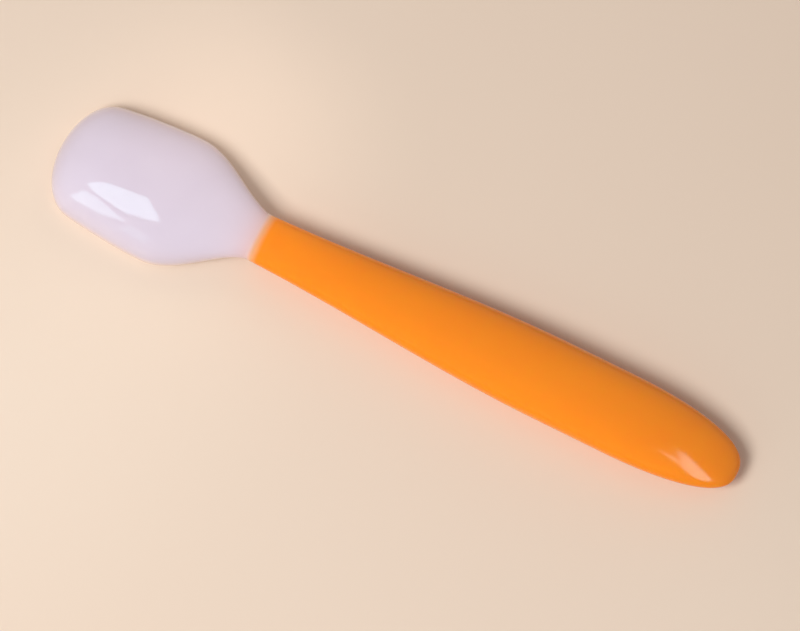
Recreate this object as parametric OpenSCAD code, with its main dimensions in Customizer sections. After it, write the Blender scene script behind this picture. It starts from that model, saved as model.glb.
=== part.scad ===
// Baby spoon, lying on its face: a soft see-through head, a stiff core and a soft grip.
// X runs from the bowl's tip to the end of the grip, Y runs across and Z points up.
// The table is z = 0, and the origin is under the middle of the spoon's length.

/* [Spoon] */
// Length from the bowl's tip to the end of the grip
spoon_len = 150; // [140:1:165]
// Length of the head, from the bowl's tip to the joint
head_len = 44.4; // [43:0.2:50]

/* [Bowl] */
// Width of the bowl at its widest place
bowl_w = 27.7; // [25:0.1:31]
// Distance from the tip to the widest place
wide_x = 24; // [21:0.5:24.5]
// Width that the sides aim at where they meet the tip
nose_w = 22.6; // [19:0.2:24]
// Length of the rounded nose, seen from above
nose_len = 8.8; // [7:0.2:12]
// Distance from the tip to where the shoulders start to draw in to the neck
shoulder_x = 24.8; // [24:0.2:28]
// Length of the shoulders' half wave, which may run on past the joint
shoulder_len = 23; // [19:0.5:26]
// Height of the bowl's back above the table
crown_h = 10.6; // [9.5:0.1:13]
// Distance from the tip to the highest place of the back
crown_x = 14; // [11:0.5:18]
// Distance from the tip to where the rim starts to sweep up to the neck
lift_x = 21.5; // [19:0.5:25]
// Thickness of the bowl's back
bowl_wall = 1.6; // [1.2:0.1:2.2]
// Width of the rim's flat edge
rim_w = 1.4; // [1:0.1:2]
// Height of the rim's widest line above the table
rim_edge_h = 0.6; // [0.4:0.1:1]
// Length of solid heel between the hollow and the joint
heel_len = 8; // [6.5:0.5:12]

/* [Joint] */
// Width of the neck at the joint
joint_w = 10.2; // [9.5:0.1:12]
// Thickness of the neck at the joint
joint_t = 6.2; // [5.8:0.1:7]
// Height of the neck's middle above the table
joint_z = 5.3; // [4.8:0.1:6]
// Length of the head's thin lip over the grip's bevelled end
lap_len = 1; // [0.5:0.1:1.5]
// Depth of the bevel that the lip fills
lap_t = 0.5; // [0.3:0.1:0.7]

/* [Grip] */
// Width of the grip at its fattest
grip_w = 16.7; // [15:0.1:20]
// Thickness of the grip at its fattest
grip_t = 10.5; // [9.8:0.1:12]
// Length over which the grip grows from the joint to its full size
grow_len = 65; // [50:1:68]
// Length of the rounded end, seen from above
end_len = 26; // [20:0.5:28]
// Length of the rounded end, seen from the side
droop_len = 34; // [28:0.5:36]
// Height of the end's tip above the table
tip_h = 3.5; // [2.5:0.1:4.5]

/* [Core] */
// Height of the core's middle above the table
core_z = 5.3; // [5:0.1:5.6]
// Length of the tongue inside the head
tongue_len = 10; // [9:0.5:11]
// Width of the tongue
tongue_w = 6; // [5:0.1:6.6]
// Thickness of the tongue
tongue_t = 2; // [1.6:0.1:2.4]
// Length of the flared root between tongue and joint
root_len = 4.5; // [3.5:0.5:5.5]
// Radius of the locking window in the tongue
window_r = 1.2; // [0.9:0.1:1.4]
// Width of the core where it passes the joint
waist_w = 7.2; // [6.6:0.1:7.8]
// Thickness of the core where it passes the joint
waist_t = 3.2; // [2.8:0.1:3.6]
// Width of the spine in the fat part of the grip
spine_w = 12; // [10:0.1:12.6]
// Thickness of the spine in the fat part of the grip
spine_t = 5.6; // [5:0.1:6.2]
// Soft end of the grip beyond the spine
spine_end_gap = 15; // [13:0.5:20]

/* [Ribs] */
// Pockets along each face of the spine
pocket_count = 9; // [5:1:11]
// Thickness of the rib between two pockets
rib_t = 1.4; // [1.2:0.1:2]
// Thickness of the side rails
rail_t = 1.5; // [1.2:0.1:1.8]
// Thickness of the web between upper and lower pockets
web_t = 1.4; // [1.2:0.1:1.8]
// Radius of the hole through the web in each pocket
web_hole_r = 0.9; // [0.6:0.1:1.1]

/* [Hidden] */
// Points round each ring of the lofts
ring_points = 48;
// Rings from the tip to the widest place, and from there to the joint
nose_rings = 18;
heel_rings = 20;
// Rings of the hollow, ahead of and behind its widest place
hollow_nose_rings = 14;
hollow_heel_rings = 14;
// Rings of the grip up to its full size, along it, and round its end
grow_rings = 18;
end_rings = 18;
// Roundness of the nose seen from above, and of the sides behind it
nose_along_share = 2.7;
nose_across_share = 2;
side_share = 1.6;
// Roundness of the back seen from the side, and of every cross section
back_share = 2.2;
section_share = 2.2;
// Squareness of the rim's edge in cross section
rim_share = 8;
// Earliness of the rim's sweep up to the neck
lift_share = 1.2;
// Roundness of the hollow's heel, seen from above and from the side
heel_along_share = 2.4;
heel_across_share = 2;
ramp_along_share = 2.2;
ramp_across_share = 1.2;
// Roundness of the grip's end, seen from above and from the side
end_along_share = 2.2;
end_across_share = 2.6;
droop_share = 2;
// Slope at which the grip starts to grow, against an even taper
grow_share = 0.4;
// How far a cut runs past what it cuts
over = 1;
// How far the head's underside is laid below the table before it is cut flat
rim_trim = 0.3;
// Facets of the round cuts in the core
round_fn = 48;

hollow_end = head_len - heel_len;
joint_top = joint_z + joint_t / 2;
grip_z = grip_t / 2;
end_x = spoon_len - end_len;
droop_x = spoon_len - droop_len;
tongue_x = head_len - tongue_len + tongue_w / 2;
spine_x = spoon_len - spine_end_gap;

// Curves between 0 and 1: a half wave, a swelling, and a rounded end
function clip(u) = max(0, min(1, u));
function wave(u) = (1 - cos(180 * clip(u))) / 2;
function swell(u, slope) = slope * (u * u * u - 2 * u * u + u) + (3 - 2 * u) * u * u;
function rounded(u, along, across) = pow(1 - pow(clip(u), along), 1 / across);

// One ring of a loft: x, half width, middle height, height above and depth below the middle
function bend(v, share) = sign(v) * pow(abs(v), 2 / share);
function ring(x, half, mid, up, down, low_share) = [
    for (i = [0:ring_points - 1])
        let (turn = 360 * i / ring_points, share = sin(turn) < 0 ? low_share : section_share)
            [x, half * bend(cos(turn), share), mid + (sin(turn) < 0 ? down : up) * bend(sin(turn), share)]
];

// The head's size at a distance x from the bowl's tip
function lift(x) = wave(pow(clip((x - lift_x) / (head_len - lift_x)), lift_share));
function side_w(x) = bowl_w - (bowl_w - nose_w) * pow(1 - clip(x / wide_x), side_share);
function nose(x) = rounded(1 - x / nose_len, nose_along_share, nose_across_share);
function drawn_in(x) = wave((x - shoulder_x) / shoulder_len);
function shoulder(x) = drawn_in(x) / drawn_in(head_len);
function head_half(x) = (side_w(x) * nose(x) - (bowl_w - joint_w) * shoulder(x)) / 2;
function head_mid(x) = rim_edge_h + (joint_z - rim_edge_h) * lift(x);
function head_down(x) = rim_edge_h + rim_trim + (joint_t / 2 - rim_edge_h - rim_trim) * lift(x);
function back_fall(x) = swell(clip((x - crown_x) / (head_len - crown_x)), 0);
function head_top(x) = x < crown_x
    ? rim_edge_h + (crown_h - rim_edge_h) * rounded(1 - x / crown_x, back_share, back_share)
    : crown_h - (crown_h - joint_top) * back_fall(x);
function head_share(x) = rim_share - (rim_share - section_share) * lift(x);
function head_ring(x) =
    ring(x, head_half(x), head_mid(x), head_top(x) - head_mid(x), head_down(x), head_share(x));

// The hollow's size at a distance x from the bowl's tip
function hollow_nose(x) = rounded(1 - (x - rim_w) / nose_len, nose_along_share, nose_across_share);
function hollow_heel(x) = rounded((x - wide_x) / (hollow_end - wide_x), heel_along_share, heel_across_share);
function hollow_half_at(x) = (side_w(x) / 2 - rim_w) * hollow_nose(x) * hollow_heel(x);
function hollow_lip(x) = max(0, head_mid(x) - head_down(x));
function hollow_room(x) = head_top(max(x, crown_x)) - bowl_wall - hollow_lip(x);
function hollow_depth(x) = hollow_room(x) * (x < crown_x
    ? rounded((crown_x - x) / (crown_x - rim_w), back_share, back_share)
    : rounded((x - crown_x) / (hollow_end - crown_x), ramp_along_share, ramp_across_share));
function hollow_ring(x) =
    ring(x, hollow_half_at(x), hollow_lip(x), hollow_depth(x), hollow_lip(x) + over, rim_share);

// The grip's size at a distance x from the bowl's tip, drawn in by inset
function grown(x) = swell(clip((x - head_len) / grow_len), grow_share);
function end_plan(x) = rounded((x - end_x) / end_len, end_along_share, end_across_share);
function end_side(x) = rounded((x - droop_x) / droop_len, droop_share, droop_share);
function grip_half(x) = (joint_w + (grip_w - joint_w) * grown(x)) / 2 * end_plan(x);
function grip_thick(x) = (joint_t + (grip_t - joint_t) * grown(x)) / 2;
function grip_mid(x) = joint_z + (grip_z - joint_z) * grown(x) - (grip_z - tip_h) * (1 - end_side(x));
function grip_ring(x, inset) = ring(x, grip_half(x) - inset, grip_mid(x),
    grip_thick(x) * end_side(x) - inset, grip_thick(x) * end_side(x) - inset, section_share);

// Closed skin through rings, with a point in the middle of each end
function middle(x, z) = [[x, 0, z]];
function band(a, b) = [
    for (i = [0:ring_points - 1])
        let (j = (i + 1) % ring_points)
            each [[a + i, b + i, a + j], [a + j, b + i, b + j]]
];
module loft(start, rings, end) {
    last = 1 + len(rings) * ring_points;
    polyhedron(
        points = concat(start, [for (r = rings) each r], end),
        faces = concat(
            [for (i = [0:ring_points - 1]) [0, 1 + i, 1 + (i + 1) % ring_points]],
            [for (k = [0:len(rings) - 2]) each band(1 + k * ring_points, 1 + (k + 1) * ring_points)],
            [for (i = [0:ring_points - 1])
                [last, last - ring_points + (i + 1) % ring_points, last - ring_points + i]]
        ),
        convexity = 6
    );
}

// Stations that crowd together towards a rounded end
function crowd(count, from, to) = [for (i = [1:count]) from + (to - from) * (1 - cos(90 * i / count))];
function even(count, from, to) = [for (i = [1:count]) from + (to - from) * i / count];

// Outer form of the head, with its lip over the grip's bevelled end
module head_form() {
    xs = concat(crowd(nose_rings, 0, wide_x), even(heel_rings, wide_x, head_len));
    loft(
        middle(0, rim_edge_h),
        concat(
            [for (x = xs) head_ring(x)],
            [grip_ring(head_len + lap_len, 0), grip_ring(head_len, lap_t)]
        ),
        middle(head_len, joint_z)
    );
}

// Hollow of the bowl, open at the table
module hollow_form() {
    count = hollow_heel_rings + 1;
    heel_xs = [for (i = [1:hollow_heel_rings]) wide_x + (hollow_end - wide_x) * sin(90 * i / count)];
    xs = concat(crowd(hollow_nose_rings, rim_w, wide_x), heel_xs);
    loft(middle(rim_w, 0), [for (x = xs) hollow_ring(x)], middle(hollow_end, hollow_lip(hollow_end)));
}

// Outer form of the grip
module grip_form() {
    grow_xs = even(grow_rings, head_len + lap_len, head_len + grow_len);
    body_x = min(head_len + grow_len, droop_x);
    end_xs = [for (i = [1:end_rings]) spoon_len - droop_len * (1 - sin(90 * i / (end_rings + 1)))];
    xs = concat([for (x = grow_xs) if (x < droop_x) x], [for (x = end_xs) if (x > body_x) x]);
    loft(
        middle(head_len, joint_z),
        concat(
            [grip_ring(head_len, lap_t), grip_ring(head_len + lap_len, 0)],
            [for (x = xs) grip_ring(x, 0)]
        ),
        middle(spoon_len, tip_h)
    );
}

// Width and thickness of the core's spine at a distance x from the bowl's tip
full_x = head_len + grow_len;
function spine_share(x) = clip((x - head_len) / grow_len);
function spine_half(x) = (waist_w + (spine_w - waist_w) * spine_share(x)) / 2;

// Half of the core's outline seen from above, and from the side
plan_points = [
    [tongue_x, tongue_w / 2],
    [head_len - root_len, tongue_w / 2],
    [head_len, waist_w / 2],
    [full_x, spine_w / 2],
    [spine_x - spine_w / 2, spine_w / 2]
];
side_points = [
    [tongue_x - tongue_w / 2 - over, tongue_t / 2],
    [head_len - root_len, tongue_t / 2],
    [head_len, waist_t / 2],
    [full_x, spine_t / 2],
    [spine_x + over, spine_t / 2]
];
function both_sides(half) = concat(half, [for (i = [len(half) - 1:-1:0]) [half[i][0], -half[i][1]]]);

// One pocket between two ribs, as wide as the rails leave it
module pocket(x, length) {
    linear_extrude(spine_t)
        polygon(both_sides([
            [x, spine_half(x) - rail_t],
            [x + length, spine_half(x + length) - rail_t]
        ]));
}

module core_form() {
    pocket_span = spine_x - spine_w / 2 - head_len - rib_t;
    pitch = pocket_span / pocket_count;
    translate([0, 0, core_z])
        difference() {
            intersection() {
                translate([0, 0, -spine_t])
                    union() {
                        linear_extrude(2 * spine_t) polygon(both_sides(plan_points));
                        translate([tongue_x, 0, 0])
                            cylinder(r = tongue_w / 2, h = 2 * spine_t, $fn = round_fn);
                        translate([spine_x - spine_w / 2, 0, 0])
                            cylinder(r = spine_w / 2, h = 2 * spine_t, $fn = round_fn);
                    }
                rotate([90, 0, 0])
                    translate([0, 0, -spine_w])
                        linear_extrude(2 * spine_w)
                            polygon(both_sides(side_points));
            }
            for (i = [0:pocket_count - 1]) {
                x = head_len + rib_t + i * pitch;
                translate([0, 0, web_t / 2]) pocket(x, pitch - rib_t);
                mirror([0, 0, 1]) translate([0, 0, web_t / 2]) pocket(x, pitch - rib_t);
                translate([x + (pitch - rib_t) / 2, 0, -web_t])
                    cylinder(r = web_hole_r, h = 2 * web_t, $fn = round_fn);
            }
            translate([tongue_x, 0, -tongue_t])
                cylinder(r = window_r, h = 2 * tongue_t, $fn = round_fn);
        }
}

// Middle of the spoon's length over the origin
module centred() {
    translate([-spoon_len / 2, 0, 0]) children();
}

// Soft silicone head: bowl, rim, heel and neck, moulded round the core's tongue
module bowl_head() {
    color([0.89, 0.85, 0.9])
        centred()
            difference() {
                head_form();
                hollow_form();
                core_form();
                translate([-over, -bowl_w, -over]) cube([head_len + 2 * over, 2 * bowl_w, over]);
            }
}

// Stiff core: tongue with locking windows, flared root, ribbed spine
module core() {
    color([0.95, 0.5, 0.12]) centred() core_form();
}

// Soft grip moulded round the spine, closed at its fat end
module grip() {
    color([1, 0.56, 0.12])
        centred()
            difference() {
                grip_form();
                core_form();
            }
}

bowl_head();
core();
grip();
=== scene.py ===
import math

import bpy
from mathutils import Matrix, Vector


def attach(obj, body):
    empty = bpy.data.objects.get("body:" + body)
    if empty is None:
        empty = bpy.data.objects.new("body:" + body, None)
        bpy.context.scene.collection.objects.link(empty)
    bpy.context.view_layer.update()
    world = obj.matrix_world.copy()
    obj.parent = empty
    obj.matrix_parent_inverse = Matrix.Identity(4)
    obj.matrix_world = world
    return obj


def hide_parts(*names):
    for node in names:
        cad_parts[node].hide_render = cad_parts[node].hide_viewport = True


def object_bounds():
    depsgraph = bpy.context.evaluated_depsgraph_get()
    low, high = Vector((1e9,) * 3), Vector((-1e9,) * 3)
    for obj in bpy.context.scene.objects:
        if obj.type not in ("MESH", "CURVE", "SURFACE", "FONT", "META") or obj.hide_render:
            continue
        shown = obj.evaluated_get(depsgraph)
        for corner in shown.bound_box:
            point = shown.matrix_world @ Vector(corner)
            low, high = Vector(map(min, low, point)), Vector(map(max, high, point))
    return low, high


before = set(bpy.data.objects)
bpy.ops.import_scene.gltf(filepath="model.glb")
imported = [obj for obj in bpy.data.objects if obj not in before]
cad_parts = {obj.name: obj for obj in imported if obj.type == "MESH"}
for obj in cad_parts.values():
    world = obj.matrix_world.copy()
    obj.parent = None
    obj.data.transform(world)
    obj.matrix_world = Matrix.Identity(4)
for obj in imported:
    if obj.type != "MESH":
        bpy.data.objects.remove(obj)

cad_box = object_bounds()
mm = 0.001

# Core. The stiff inner piece, injection moulded in orange plastic before anything soft goes on: a
# tongue with a locking window for the head, a flared root at the joint and a ribbed spine for the
# grip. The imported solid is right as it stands, so it only gets its moulded plastic finish.


def lay(tree, kind, inputs=None, **settings):
    """One node, with its settings, its fixed inputs and its links."""
    made = tree.nodes.new(kind)
    for name, value in settings.items():
        setattr(made, name, value)
    for name, value in (inputs or {}).items():
        if isinstance(value, bpy.types.NodeSocket):
            tree.links.new(value, made.inputs[name])
        else:
            made.inputs[name].default_value = value
    return made


def linear(red, green, blue):
    """A colour as seen on screen, 0 to 255, turned into light."""
    shares = [channel / 255 for channel in (red, green, blue)]
    return [s / 12.92 if s < 0.04045 else ((s + 0.055) / 1.055) ** 2.4 for s in shares] + [1.0]


def mixed(tree, factor, first, second):
    """The first colour where the factor is 0, the second where it is 1."""
    node = lay(tree, "ShaderNodeMix", {"Factor": factor, "A": first, "B": second}, data_type="RGBA")
    return node.outputs["Result"]


def ramp(tree, value, span, ends, kind="SMOOTHSTEP"):
    """Goes from the first of the ends to the second while the value crosses the span."""
    node = lay(tree, "ShaderNodeMapRange", {
        "Value": value, "From Min": span[0], "From Max": span[1], "To Min": ends[0], "To Max": ends[1]},
        interpolation_type=kind)
    return node.outputs["Result"]


def moulded_skin_group():
    """What every moulded surface of the spoon carries: slow flow marks, a fine texture and smudges."""
    group = bpy.data.node_groups.new("moulded_skin", "ShaderNodeTree")
    for name, value in (("Flow size", 60.0), ("Texture size", 900.0), ("Smudge size", 130.0)):
        socket = group.interface.new_socket(name, in_out="INPUT", socket_type="NodeSocketFloat")
        socket.default_value = value
    for name in ("Flow", "Texture", "Smudge"):
        group.interface.new_socket(name, in_out="OUTPUT", socket_type="NodeSocketFloat")
    sizes = lay(group, "NodeGroupInput").outputs
    place = lay(group, "ShaderNodeTexCoord").outputs["Object"]
    flow = lay(group, "ShaderNodeTexNoise", {
        "Vector": place, "Scale": sizes["Flow size"], "Detail": 3.0, "Roughness": 0.5, "Distortion": 0.6})
    texture = lay(group, "ShaderNodeTexNoise", {
        "Vector": place, "Scale": sizes["Texture size"], "Detail": 4.0, "Roughness": 0.6})
    smudge = lay(group, "ShaderNodeTexNoise", {
        "Vector": place, "Scale": sizes["Smudge size"],
        "Detail": 3.0, "Roughness": 0.55, "Distortion": 0.4})
    lay(group, "NodeGroupOutput", {
        "Flow": flow.outputs[0], "Texture": texture.outputs[0],
        "Smudge": ramp(group, smudge.outputs[0], (0.48, 0.72), (0.0, 1.0))})
    return group


moulded_skin = moulded_skin_group()


def new_finish(name, flow_size, texture_size, smudge_size):
    """A new material, with its node tree, its shader and the marks of a moulded skin."""
    material = bpy.data.materials.new(name)
    material.use_nodes = True
    tree = material.node_tree
    skin = lay(tree, "ShaderNodeGroup", {
        "Flow size": flow_size, "Texture size": texture_size, "Smudge size": smudge_size},
        node_tree=moulded_skin)
    return material, tree, tree.nodes["Principled BSDF"], skin.outputs


def surface(tree, shader, colour, smudge, rough, relief, strength, height):
    """Gives the shader its colour, a roughness that goes from clean to smudged, and a fine relief."""
    tree.links.new(colour, shader.inputs["Base Color"])
    tree.links.new(ramp(tree, smudge, (0.0, 1.0), rough, "LINEAR"), shader.inputs["Roughness"])
    bump = lay(tree, "ShaderNodeBump", {"Height": relief, "Strength": strength, "Distance": height})
    tree.links.new(bump.outputs["Normal"], shader.inputs["Normal"])


def core_finish():
    material, tree, shader, skin = new_finish("core_plastic", 90.0, 1500.0, 130.0)
    colour = mixed(tree, skin["Flow"], linear(240, 120, 22), linear(250, 142, 34))
    surface(tree, shader, colour, skin["Smudge"], (0.42, 0.55), skin["Texture"], 0.25, 0.02 * mm)
    return material


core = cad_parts["core"]
core.data.materials.clear()
core.data.materials.append(core_finish())

# Grip. The fat soft handle, moulded in orange elastomer over the core's spine in one shot: a straight
# swelling taper with a closed round end and a small bevel at the joint, where the head's lip starts.
# Its surface follows the rule of the solid, worked out ring by ring in Geometry Nodes.


class Worked:
    """A size worked out inside a node tree. The usual signs each add one Math node."""

    def __init__(self, socket):
        self.socket = socket

    def __add__(self, other):
        return worked("ADD", self, other)

    def __sub__(self, other):
        return worked("SUBTRACT", self, other)

    def __rsub__(self, other):
        return worked("SUBTRACT", other, self)

    def __mul__(self, other):
        return worked("MULTIPLY", self, other)

    def __truediv__(self, other):
        return worked("DIVIDE", self, other)

    def __rtruediv__(self, other):
        return worked("DIVIDE", other, self)

    def __pow__(self, other):
        return worked("POWER", self, other)

    __radd__ = __add__
    __rmul__ = __mul__


def input_of(value):
    return value.socket if isinstance(value, Worked) else value


def worked(operation, *values):
    tree = next(value.socket.id_data for value in values if isinstance(value, Worked))
    inputs = {i: input_of(value) for i, value in enumerate(values)}
    return Worked(lay(tree, "ShaderNodeMath", inputs, operation=operation).outputs[0])


def clipped(u):
    return worked("MINIMUM", worked("MAXIMUM", u, 0.0), 1.0)


def half_wave(u):
    return 0.5 - 0.5 * worked("COSINE", math.pi * clipped(u))


def swelling(u, slope):
    return slope * (u * u * u - 2.0 * u * u + u) + (3.0 - 2.0 * u) * u * u


def rounded(u, along, across):
    return worked("MAXIMUM", 1.0 - clipped(u) ** along, 0.0) ** (1.0 / across)


def chosen(first, second, where):
    """first where the test is 1, second where it is 0."""
    return where * first + (1.0 - where) * second


def bent(v, share):
    """A circle's sine or cosine, squared up into a softly boxed section."""
    return worked("SIGN", v) * worked("ABSOLUTE", v) ** (2.0 / share)


def new_form(name, sizes):
    """An empty Geometry Nodes tree with a named input for each size, in metres."""
    tree = bpy.data.node_groups.new(name, "GeometryNodeTree")
    tree.interface.new_socket("Geometry", in_out="OUTPUT", socket_type="NodeSocketGeometry")
    for size_name, value in sizes.items():
        socket = tree.interface.new_socket(size_name, in_out="INPUT", socket_type="NodeSocketFloat")
        socket.default_value = value
    start = lay(tree, "NodeGroupInput")
    return tree, {size_name: Worked(start.outputs[size_name]) for size_name in sizes}


class SizesRead(dict):
    """The sizes that a rule reads. Each becomes an input of the rule's group when it is first read."""

    def __init__(self, group):
        self.group = group
        self.start = lay(group, "NodeGroupInput")

    def __missing__(self, name):
        self.group.interface.new_socket(name, in_out="INPUT", socket_type="NodeSocketFloat")
        self[name] = Worked(self.start.outputs[name])
        return self[name]


def rule(work):
    """Turns a rule of the form into a node group, built once, that is laid wherever the rule is used."""
    group = bpy.data.node_groups.new(work.__name__, "GeometryNodeTree")
    size = SizesRead(group)
    places = ["place %d" % i for i in range(1, work.__code__.co_argcount)]
    results = work(size, *[size[place] for place in places])
    for i in range(len(results)):
        group.interface.new_socket("result %d" % i, in_out="OUTPUT", socket_type="NodeSocketFloat")
    lay(group, "NodeGroupOutput", {i: result.socket for i, result in enumerate(results)})

    def use(sizes, *values):
        given = {**sizes, **dict(zip(places, values))}
        inputs = {name: input_of(given[name]) for name in size}
        node = lay(values[0].socket.id_data, "GeometryNodeGroup", inputs, node_tree=group)
        return [Worked(socket) for socket in node.outputs]
    return use


def sheet_of(tree, across, along):
    """A flat sheet of faces, with where each point lies across it and along it, 0 to 1."""
    grid = lay(tree, "GeometryNodeMeshGrid", {
        "Size X": 1.0, "Size Y": 1.0, "Vertices X": across + 1, "Vertices Y": along + 1})
    point = lay(tree, "GeometryNodeInputPosition").outputs[0]
    place = lay(tree, "ShaderNodeSeparateXYZ", {"Vector": point})
    return grid.outputs["Mesh"], Worked(place.outputs["X"]) + 0.5, Worked(place.outputs["Y"]) + 0.5


def kept(sheet, *values):
    """Works values out once for every point of the sheet, for what follows to start from."""
    tree = sheet.id_data
    node = lay(tree, "GeometryNodeCaptureAttribute", {"Geometry": sheet})
    for value in values:
        node.capture_items.new("FLOAT", "size")
    for value, into in zip(values, node.inputs[1:]):
        tree.links.new(value.socket, into)
    return [node.outputs[0]] + [Worked(socket) for socket in node.outputs[1:len(values) + 1]]


def formed(tree, sheet, x, y, z):
    """The sheet with its points moved to x, y, z."""
    place = lay(tree, "ShaderNodeCombineXYZ", {"X": x.socket, "Y": y.socket, "Z": z.socket}).outputs[0]
    return lay(tree, "GeometryNodeSetPosition", {"Geometry": sheet, "Position": place}).outputs[0]


seam_gap = 0.003 * mm
crease_angle = 0.4


def finish_form(tree, parts, mirrored, material):
    """Joins the parts, adds their mirror image, closes the seams and sets the material."""
    joined = lay(tree, "GeometryNodeJoinGeometry")
    for part in parts:
        tree.links.new(part, joined.inputs[0])
    shape = joined.outputs[0]
    if mirrored:
        twin = lay(tree, "GeometryNodeTransform", {"Geometry": shape, "Scale": (1.0, -1.0, 1.0)})
        twin = lay(tree, "GeometryNodeFlipFaces", {"Mesh": twin.outputs[0]})
        both = lay(tree, "GeometryNodeJoinGeometry")
        tree.links.new(twin.outputs[0], both.inputs[0])
        tree.links.new(shape, both.inputs[0])
        shape = both.outputs[0]
    closed = lay(tree, "GeometryNodeMergeByDistance", {"Geometry": shape, "Distance": seam_gap})
    smooth = lay(tree, "GeometryNodeSetShadeSmooth", {
        "Geometry": closed.outputs[0], "Shade Smooth": True})
    angle = Worked(lay(tree, "GeometryNodeInputMeshEdgeAngle").outputs["Unsigned Angle"])
    smooth = lay(tree, "GeometryNodeSetShadeSmooth", {
        "Geometry": smooth.outputs[0], "Selection": worked("GREATER_THAN", angle, crease_angle).socket,
        "Shade Smooth": False}, domain="EDGE")
    real = lay(tree, "GeometryNodeRealizeInstances", {"Geometry": smooth.outputs[0]})
    faced = lay(tree, "GeometryNodeSetMaterial", {"Geometry": real.outputs[0], "Material": material})
    lay(tree, "NodeGroupOutput", {0: faced.outputs[0]})


def new_object(name, data):
    """An object in the scene with this mesh, lamp or camera."""
    made = bpy.data.objects.new(name, data)
    bpy.context.scene.collection.objects.link(made)
    return made


def cast(name, tree, sizes, material):
    """Runs the tree on an empty mesh with these sizes and keeps the result as a plain mesh."""
    blank = new_object(name + "_form", bpy.data.meshes.new(name + "_form"))
    modifier = blank.modifiers.new(name, "NODES")
    modifier.node_group = tree
    for item in tree.interface.items_tree:
        if item.in_out == "INPUT":
            modifier[item.identifier] = sizes[item.name]
    bpy.context.view_layer.update()
    ready = blank.evaluated_get(bpy.context.evaluated_depsgraph_get())
    mesh = bpy.data.meshes.new_from_object(ready)
    mesh.name = name
    bpy.data.objects.remove(blank)
    mesh.materials.clear()
    mesh.materials.append(material)
    return new_object(name, mesh)


spoon_len = 150 * mm
joint_x = 44.4 * mm
grip_sizes = {
    "Length": spoon_len, "Joint place": joint_x,
    "Joint width": 10.2 * mm, "Joint thickness": 6.2 * mm, "Joint height": 5.3 * mm,
    "Width": 16.7 * mm, "Thickness": 10.5 * mm, "Growth length": 65 * mm, "End length": 26 * mm,
    "Droop length": 34 * mm, "Tip height": 3.5 * mm, "Bevel length": 1 * mm, "Bevel depth": 0.53 * mm,
}
section_share = 2.2
grow_share = 0.4
end_along_share, end_across_share = 2.2, 2.6
droop_share = 2.0
ring_points = 192
grip_rings = 260
strip_rings = 6


@rule
def grip_ring(size, x, turn, inset):
    """A point of the grip's skin at x from the bowl's tip, turned round the middle line."""
    grown = swelling(clipped((x - size["Joint place"]) / size["Growth length"]), grow_share)
    end_start = size["Length"] - size["End length"]
    plan = rounded((x - end_start) / size["End length"], end_along_share, end_across_share)
    droop_start = size["Length"] - size["Droop length"]
    side = rounded((x - droop_start) / size["Droop length"], droop_share, droop_share)
    half = (size["Joint width"] + (size["Width"] - size["Joint width"]) * grown) * 0.5 * plan
    thick = (size["Joint thickness"] + (size["Thickness"] - size["Joint thickness"]) * grown) * 0.5
    level = size["Thickness"] * 0.5
    mid = size["Joint height"] + (level - size["Joint height"]) * grown \
        - (level - size["Tip height"]) * (1.0 - side)
    y = (half - inset) * bent(worked("COSINE", turn), section_share)
    z = mid + (thick * side - inset) * bent(worked("SINE", turn), section_share)
    return x - size["Length"] * 0.5, y, z


def grip_form(material):
    tree, size = new_form("grip_form", grip_sizes)
    body, around, along = sheet_of(tree, ring_points, grip_rings)
    run = size["Length"] - size["Joint place"] - size["Bevel length"]
    x = size["Length"] - run * (1.0 - worked("SINE", along * (math.pi / 2)))
    body = formed(tree, body, *grip_ring(size, x, around * math.tau, 0.0))
    bevel, around, along = sheet_of(tree, ring_points, strip_rings)
    x = size["Joint place"] + size["Bevel length"] * along
    inset = size["Bevel depth"] * (1.0 - along)
    bevel = formed(tree, bevel, *grip_ring(size, x, around * math.tau, inset))
    cap, around, along = sheet_of(tree, ring_points, strip_rings)
    x, y, z = grip_ring(size, size["Joint place"], around * math.tau, size["Bevel depth"])
    level = size["Joint height"]
    cap = formed(tree, cap, x, y * along, level + (z - level) * along)
    finish_form(tree, (body, bevel, cap), False, material)
    return tree


lip_end = joint_x + grip_sizes["Bevel length"] - spoon_len / 2
veil_before, veil_after = 0.4 * mm, 1.6 * mm


def place_on_spoon(tree):
    """Where a point of the surface lies: X along the spoon, Z up."""
    point = lay(tree, "ShaderNodeTexCoord").outputs["Object"]
    return lay(tree, "ShaderNodeSeparateXYZ", {"Vector": point}).outputs


def grip_finish():
    """Orange elastomer, with the paler veil of the head's thin lip where the grip starts and a painted
    pale highlight strip that runs on past the lip's end onto the bare grip.
    """
    material, tree, shader, skin = new_finish("grip_soft", 45.0, 1100.0, 150.0)
    shader.inputs["Specular IOR Level"].default_value = 0.3
    shader.inputs["Subsurface Weight"].default_value = 0.5
    shader.inputs["Subsurface Radius"].default_value = (1.0, 0.25, 0.08)
    shader.inputs["Subsurface Scale"].default_value = 3.0 * mm
    orange = mixed(tree, skin["Flow"], linear(255, 138, 3), linear(255, 147, 7))
    x = place_on_spoon(tree)["X"]
    # Partly the grip seen under the thin lip, partly a painted highlight: the pale strip runs on past the
    # lip's end onto the bare grip.
    veil = ramp(tree, x, (lip_end - veil_before, lip_end + veil_after), (1.0, 0.0))
    colour = mixed(tree, veil, orange, linear(255, 182, 138))
    surface(tree, shader, colour, skin["Smudge"], (0.12, 0.16), skin["Texture"], 0.12, 0.02 * mm)
    return material


grip_soft = grip_finish()
grip = cast("soft_grip", grip_form(grip_soft), grip_sizes, grip_soft)
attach(grip, "root")
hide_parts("grip")

# Bowl head. Milky see-through silicone, moulded over the core's tongue: a deep bowl whose level rim
# sweeps up into a solid heel, and a neck that ends in a thin lip over the grip's bevel. Its back, rim,
# hollow and lip follow the rule of the solid, and one half is worked out and mirrored.

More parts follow.
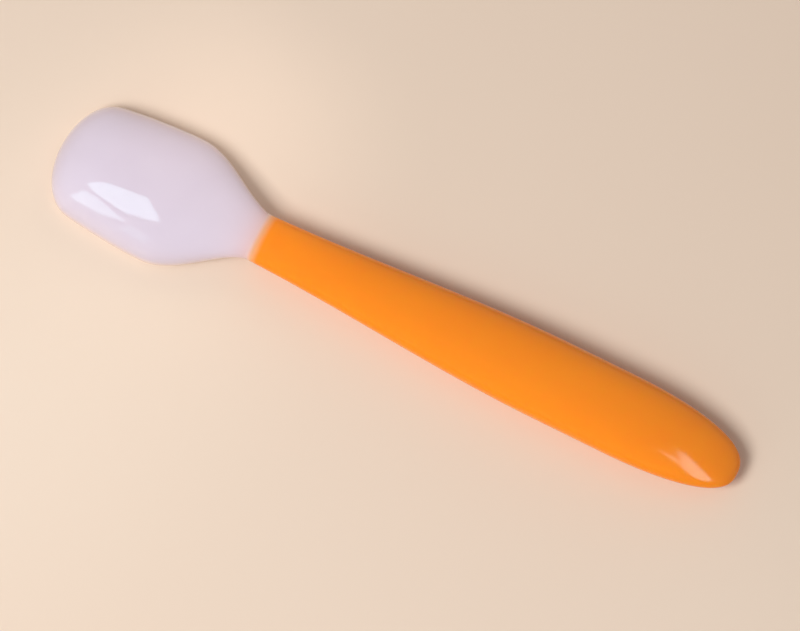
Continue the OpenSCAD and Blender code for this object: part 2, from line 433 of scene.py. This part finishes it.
head_sizes = {
    **grip_sizes,
    "Bowl width": 27.7 * mm, "Widest place": 24 * mm, "Nose width": 22.6 * mm, "Nose length": 8.8 * mm,
    "Shoulder place": 24.8 * mm, "Shoulder length": 23 * mm, "Crown height": 10.6 * mm,
    "Crown place": 14 * mm, "Lift place": 21.5 * mm, "Wall": 1.6 * mm, "Rim width": 1.4 * mm,
    "Rim edge height": 0.6 * mm, "Heel length": 8 * mm, "Rim rounding": 0.35 * mm,
}
rim_trim = 0.3 * mm
lip_clearance = 0.01 * mm
grain = 0.000001 * mm
least_length = 0.001
rim_share = 8.0
nose_along_share, nose_across_share = 2.7, 2.0
side_share = 1.6
back_share = 2.2
lift_share = 1.2
heel_along_share, heel_across_share = 2.4, 2.0
ramp_along_share, ramp_across_share = 2.2, 1.2


def side_width(size, x):
    return size["Bowl width"] - (size["Bowl width"] - size["Nose width"]) \
        * (1.0 - clipped(x / size["Widest place"])) ** side_share


@rule
def head_section(size, x):
    """Half width, heights of the widest line and the top, depth below and the underside's squareness."""
    side = side_width(size, x)
    nose = rounded(1.0 - x / size["Nose length"], nose_along_share, nose_across_share)
    drawn_in = half_wave((x - size["Shoulder place"]) / size["Shoulder length"])
    all_in = half_wave((size["Joint place"] - size["Shoulder place"]) / size["Shoulder length"])
    half = (side * nose - (size["Bowl width"] - size["Joint width"]) * drawn_in / all_in) * 0.5
    lift_run = size["Joint place"] - size["Lift place"]
    lift = half_wave(clipped((x - size["Lift place"]) / lift_run) ** lift_share)
    edge = size["Rim edge height"]
    mid = edge + (size["Joint height"] - edge) * lift
    down = edge + rim_trim + (size["Joint thickness"] * 0.5 - edge - rim_trim) * lift
    fall = swelling(clipped((x - size["Crown place"]) / (size["Joint place"] - size["Crown place"])), 0.0)
    joint_top = size["Joint height"] + size["Joint thickness"] * 0.5
    rise = rounded(1.0 - x / size["Crown place"], back_share, back_share)
    top = chosen(
        edge + (size["Crown height"] - edge) * rise,
        size["Crown height"] - (size["Crown height"] - joint_top) * fall,
        worked("LESS_THAN", x, size["Crown place"]))
    return half, mid, top, down, rim_share - (rim_share - section_share) * lift


@rule
def underside(size, y, half, mid, top, down, share):
    """Height of the underside at a place seen from above. The grain keeps the nose's point whole."""
    outward = clipped((worked("ABSOLUTE", y) + grain) / (half + grain))
    inward = worked("MAXIMUM", 1.0 - outward ** share, 0.0) ** (1.0 / share)
    return [worked("MAXIMUM", mid - down * inward, 0.0)]


@rule
def hollow_mouth(size, x):
    """Half width of the hollow at x."""
    side = side_width(size, x)
    from_rim = (x - size["Rim width"]) / size["Nose length"]
    nose = rounded(1.0 - from_rim, nose_along_share, nose_across_share)
    end = size["Joint place"] - size["Heel length"]
    widest = size["Widest place"]
    heel = rounded((x - widest) / (end - widest), heel_along_share, heel_across_share)
    return [(side * 0.5 - size["Rim width"]) * nose * heel]


@rule
def hollow_depth(size, x, half, mid, top, down, share):
    """Depth of the hollow at x. The section is the one there, or the crown's for places before it."""
    end = size["Joint place"] - size["Heel length"]
    room = top - size["Wall"] - worked("MAXIMUM", mid - down, 0.0)
    crown = size["Crown place"]
    front = rounded((crown - x) / (crown - size["Rim width"]), back_share, back_share)
    behind = rounded((x - crown) / (end - crown), ramp_along_share, ramp_across_share)
    return [room * chosen(front, behind, worked("LESS_THAN", x, crown))]


@rule
def flared(size, x, y, height):
    """A place of the hollow's wall, moved outwards near the mouth to round the rim's inner edge."""
    end = size["Joint place"] - size["Heel length"]
    centre = (size["Rim width"] + end) * 0.5
    along = (x - centre) / (end - centre)
    across = y / (size["Bowl width"] * 0.5 - size["Rim width"])
    along, across = along * along * along, across * across * across
    length = worked("MAXIMUM", worked("SQRT", along * along + across * across), least_length)
    radius = size["Rim rounding"]
    left = worked("MAXIMUM", radius - height, 0.0)
    out = radius - worked("SQRT", worked("MAXIMUM", radius * radius - left * left, 0.0))
    return x + out * along / length, y + out * across / length


stations = 170
arch_points = 72
joint_points = 48
rim_points = 9
nose_crowding = math.radians(153)
rim_crowding = 0.35
wall_crowding = 1.6


def outer_place(size, t):
    """Places along the head, crowded where the nose closes."""
    gone = (1.0 - worked("COSINE", t * nose_crowding)) / (1 - math.cos(nose_crowding))
    return size["Joint place"] * gone


def inner_place(size, t):
    end = size["Joint place"] - size["Heel length"]
    return size["Rim width"] + (end - size["Rim width"]) * half_wave(t)


def neck_turn(around):
    """Turns round half the neck, bottom to top, in the rim's steps below and the back's steps above."""
    step = around * (joint_points + arch_points)
    below = clipped(step / joint_points) - 1.0
    above = clipped((step - joint_points) / arch_points)
    return (below + above) * (math.pi / 2)


def head_form(material):
    tree, size = new_form("head_form", head_sizes)
    middle = size["Length"] * 0.5

    back, around, along = sheet_of(tree, arch_points, stations)
    x = outer_place(size, along)
    back, x, half, mid, top = kept(back, x, *head_section(size, x)[:3])
    turn = around * (math.pi / 2)
    back = formed(tree, back, x - middle,
                  half * worked("COSINE", turn) ** (2.0 / section_share),
                  mid + (top - mid) * worked("SINE", turn) ** (2.0 / section_share))

    rim, across, along = sheet_of(tree, rim_points, stations + joint_points)
    step = along * (stations + joint_points)
    t = clipped(step / stations)
    arc = clipped((step - stations) / joint_points) * (math.pi / 2)
    x, edge_x = outer_place(size, t), inner_place(size, t)
    y = head_section(size, x)[0] * worked("COSINE", arc) ** (2.0 / section_share)
    rim, x, y, edge_x, edge_y = kept(rim, x, y, edge_x, *hollow_mouth(size, edge_x))
    edge_x, edge_y = flared(size, edge_x, edge_y, 0.0)
    inwards = across * across * rim_crowding + across * (1.0 - rim_crowding)
    rim, x, y = kept(rim, x + (edge_x - x) * inwards, y + (edge_y - y) * inwards)
    rim, *section = kept(rim, *head_section(size, x))
    rim = formed(tree, rim, x - middle, y, *underside(size, y, *section))
    rim = lay(tree, "GeometryNodeFlipFaces", {"Mesh": rim}).outputs[0]

    hollow, around, along = sheet_of(tree, arch_points, stations)
    turn = around ** wall_crowding * (math.pi / 2)
    x = inner_place(size, along)
    hollow, x, mouth, *section = kept(hollow, x, *hollow_mouth(size, x), *head_section(size, x))
    hollow, *behind = kept(hollow, *head_section(size, worked("MAXIMUM", x, size["Crown place"])))
    lip, depth = worked("MAXIMUM", section[1] - section[3], 0.0), hollow_depth(size, x, *behind)[0]
    hollow, y, z = kept(hollow, mouth * worked("COSINE", turn) ** (2.0 / section_share),
                        lip + depth * worked("SINE", turn) ** (2.0 / section_share))
    edge_x, edge_y = flared(size, x, y, 0.0)
    hollow, edge_x, edge_y = kept(hollow, edge_x, edge_y)
    hollow, *section = kept(hollow, *head_section(size, edge_x))
    hollow, rim_z = kept(hollow, *underside(size, edge_y, *section))
    place_x, place_y = flared(size, x, y, worked("MAXIMUM", z - rim_z, 0.0))
    hollow = formed(tree, hollow, place_x - middle, place_y, worked("MAXIMUM", z, rim_z))
    hollow = lay(tree, "GeometryNodeFlipFaces", {"Mesh": hollow}).outputs[0]

    lip_out, around, along = sheet_of(tree, joint_points + arch_points, strip_rings)
    x = size["Joint place"] + size["Bevel length"] * along
    lip_out = formed(tree, lip_out, *grip_ring(size, x, neck_turn(around), 0.0))
    lip_in, around, along = sheet_of(tree, joint_points + arch_points, strip_rings)
    x = size["Joint place"] + size["Bevel length"] * along
    lip_depth = size["Bevel depth"] - lip_clearance
    lip_in = formed(tree, lip_in, *grip_ring(size, x, neck_turn(around), lip_depth * (1.0 - along)))
    lip_in = lay(tree, "GeometryNodeFlipFaces", {"Mesh": lip_in}).outputs[0]
    end_face, around, along = sheet_of(tree, joint_points + arch_points, strip_rings)
    x, y, z = grip_ring(size, size["Joint place"], neck_turn(around), lip_depth)
    level = size["Joint height"]
    end_face = formed(tree, end_face, x, y * along, level + (z - level) * along)
    end_face = lay(tree, "GeometryNodeFlipFaces", {"Mesh": end_face}).outputs[0]
    finish_form(tree, (back, rim, hollow, lip_out, lip_in, end_face), True, material)
    return tree


warm_from, warm_to = 0.2 * mm, 3.1 * mm
glow_share = 0.28
glow_reach = 2.6 * mm
lip_start = 0.1 * mm


def silicone_finish():
    """Milky silicone with a painted warm tint near the table, for the table seen through and reflected in
    its thin low edges, and orange where the grip glows through the neck.
    """
    material, tree, shader, skin = new_finish("silicone", 70.0, 1400.0, 160.0)
    shader.inputs["IOR"].default_value = 1.41
    shader.inputs["Subsurface Weight"].default_value = 0.35
    shader.inputs["Subsurface Radius"].default_value = (1.0, 0.95, 0.97)
    shader.inputs["Subsurface Scale"].default_value = 0.8 * mm
    shader.inputs["Sheen Weight"].default_value = 0.35
    shader.inputs["Sheen Tint"].default_value = (1.0, 0.78, 0.62, 1.0)
    milk = mixed(tree, skin["Flow"], linear(211, 201, 219), linear(218, 209, 226))
    place = place_on_spoon(tree)
    # Painted light: the warm tint near the table stands for the table seen through and reflected in the
    # thin low edges.
    warmth = ramp(tree, place["Z"], (warm_from, warm_to), (0.6, 0.0))
    body = mixed(tree, warmth, milk, linear(236, 208, 194))
    from_joint = Worked(place["X"]) - (joint_x - spoon_len / 2)
    glow = glow_share * worked("EXPONENT", worked("MINIMUM", from_joint, 0.0) / glow_reach)
    neck = mixed(tree, glow.socket, body, linear(246, 150, 60))
    # Partly the orange bevel seen through the thin lip, partly painted light: the lip is made paler so
    # the shaded joint shows a bright edge strip.
    lip = ramp(tree, from_joint.socket, (lip_start, grip_sizes["Bevel length"]), (0.0, 1.0))
    colour = mixed(tree, lip, neck, linear(255, 183, 142))
    surface(tree, shader, colour, skin["Smudge"], (0.05, 0.09), skin["Flow"], 0.2, 0.15 * mm)
    return material


silicone = silicone_finish()
head = cast("silicone_head", head_form(silicone), head_sizes, silicone)
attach(head, "root")
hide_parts("bowl_head")

# Table. A plain pale top that the spoon lies face down on, wide enough for every view, matt and
# slightly warm. It only shows the shadow and isn't part of the spoon.


table_half = 1.5
table_drop = 0.1 * mm


def flat_piece(name, corners):
    """One flat face with these corners, in metres, and its own material."""
    mesh = bpy.data.meshes.new(name)
    mesh.from_pydata(corners, [], [tuple(range(len(corners)))])
    mesh.update()
    material = bpy.data.materials.new(name)
    material.use_nodes = True
    mesh.materials.append(material)
    return new_object(name, mesh), material.node_tree


def table_top():
    low, high = -table_half, table_half
    corners = [(low, low, 0), (high, low, 0), (high, high, 0), (low, high, 0)]
    table, tree = flat_piece("table_top", corners)
    table.location.z = -table_drop
    shader = tree.nodes["Principled BSDF"]
    shader.inputs["Roughness"].default_value = 0.75
    place = lay(tree, "ShaderNodeTexCoord").outputs["Object"]
    cloud = lay(tree, "ShaderNodeTexNoise", {"Vector": place, "Scale": 9.0, "Detail": 2.0})
    colour = mixed(tree, cloud.outputs[0], linear(231, 211, 193), linear(235, 216, 199))
    tree.links.new(colour, shader.inputs["Base Color"])
    return table


table_top()

# Light. A large soft key lamp from the bowl's side and a low fill shade the spoon, a pale room fills in
# the rest, and a small warm card lights the bowl's far side. Window panes close by only give the
# reflections: three on the bowl's back, two on the grip's round end.


def soft_lamp(name, size, energy, colour, way, distance, aim=(0.0, 0.0, 0.0), spread=math.pi):
    """A square lamp that lies this way from what it is aimed at. No mirror shows it."""
    data = bpy.data.lights.new(name, "AREA")
    data.size = size
    data.energy = energy
    data.color = colour
    data.spread = spread
    lamp = new_object(name, data)
    way = Vector(way).normalized()
    lamp.location = Vector(aim) + way * distance
    lamp.rotation_euler = way.to_track_quat("Z", "Y").to_euler()
    lamp.visible_camera = False
    lamp.visible_glossy = False


soft_lamp("key_light", size=0.32, energy=4.75, colour=(1.0, 0.985, 0.965),
          way=(-0.27, -0.48, 0.83), distance=0.8)
soft_lamp("low_fill", size=0.4, energy=0.5, colour=(1.0, 0.97, 0.93),
          way=(-0.35, -0.85, 0.36), distance=0.8)
soft_lamp("bounce_card", size=0.04, energy=0.0021, colour=(1.0, 0.84, 0.72),
          way=(0.1, 0.8, 0.62), distance=0.07, aim=(-0.05, 0.0, 0.005), spread=math.radians(60))


window_colour = (0.68, 0.96, 1.0, 1.0)


def window_pane(name, strength, corners):
    """A glowing pane with these corners in millimetres, that only shows in glossy surfaces."""
    pane, tree = flat_piece(name, [tuple(mm * part for part in corner) for corner in corners])
    shader = tree.nodes["Principled BSDF"]
    shader.inputs["Base Color"].default_value = (0, 0, 0, 1)
    shader.inputs["Emission Color"].default_value = window_colour
    shader.inputs["Emission Strength"].default_value = strength
    pane.visible_camera = False
    pane.visible_diffuse = False
    pane.visible_shadow = False
    pane.visible_transmission = False


window_pane("bowl_pane_upper", 7.0, (
    (-105, -40, 68), (-82, -24, 82), (-56, -11, 94), (-48, -38, 83), (-67, -59, 68), (-88, -52, 66)))
window_pane("bowl_pane_lower", 5.5, (
    (-113, -70, 25), (-104, -56, 55), (-85, -58, 63), (-67, -72, 54), (-81, -81, 30), (-103, -78, 18)))
window_pane("bowl_pane_side", 2.0, (
    (-66, -73, 52), (-53, -77, 50), (-58, -91, 29), (-73, -91, 22)))
window_pane("end_pane_wide", 8.0, (
    (110, -5, 148), (115, -1, 146), (135, -36, 105), (155, -61, 69), (154, -88, 51), (130, -97, 65),
    (112, -66, 103)))
window_pane("end_pane_thin", 7.0, (
    (90, -37, 122), (99, -36, 119), (106, -43, 113), (107, -55, 108), (100, -53, 112), (94, -44, 118)))

world = bpy.data.worlds.new("pale_room")
bpy.context.scene.world = world
world.use_nodes = True
room = world.node_tree
room_light = room.nodes["Background"]
room_light.inputs["Color"].default_value = (1.0, 0.94, 0.89, 1.0)
room_light.inputs["Strength"].default_value = 0.33
seen = lay(room, "ShaderNodeBackground", {"Color": linear(240, 236, 231), "Strength": 1.0})
ray = lay(room, "ShaderNodeLightPath")
mirrored = lay(room, "ShaderNodeMath", {
    0: ray.outputs["Is Glossy Ray"], 1: ray.outputs["Is Transmission Ray"]}, operation="MAXIMUM")
direct = lay(room, "ShaderNodeMath", {
    0: ray.outputs["Is Camera Ray"], 1: mirrored.outputs[0]}, operation="MAXIMUM")
show = lay(room, "ShaderNodeMixShader", {
    0: direct.outputs[0], 1: room_light.outputs[0], 2: seen.outputs[0]})
room.links.new(show.outputs[0], room.nodes["World Output"].inputs["Surface"])

# Camera. Over the table at the photograph's angle, a long lens 600 mm from the middle of the spoon.

photo_width = 800
focal_pixels = 3041
film_width = 36
view_azimuth = math.radians(26.81)
view_height = math.radians(76.0)
view_distance = 0.6
view_target = Vector((2.02, -1.6, 5.0)) * mm
view_way = Vector((-math.sin(view_azimuth) * math.cos(view_height),
                   math.cos(view_azimuth) * math.cos(view_height), -math.sin(view_height)))
camera_data = bpy.data.cameras.new("camera")
camera_data.lens = focal_pixels * film_width / photo_width
camera_data.sensor_width = film_width
camera_data.clip_start = 0.01
camera = new_object("camera", camera_data)
camera.location = view_target - view_way * view_distance
camera.rotation_euler = view_way.to_track_quat("-Z", "Y").to_euler()
bpy.context.scene.camera = camera
bpy.context.scene.view_settings.view_transform = "Standard"
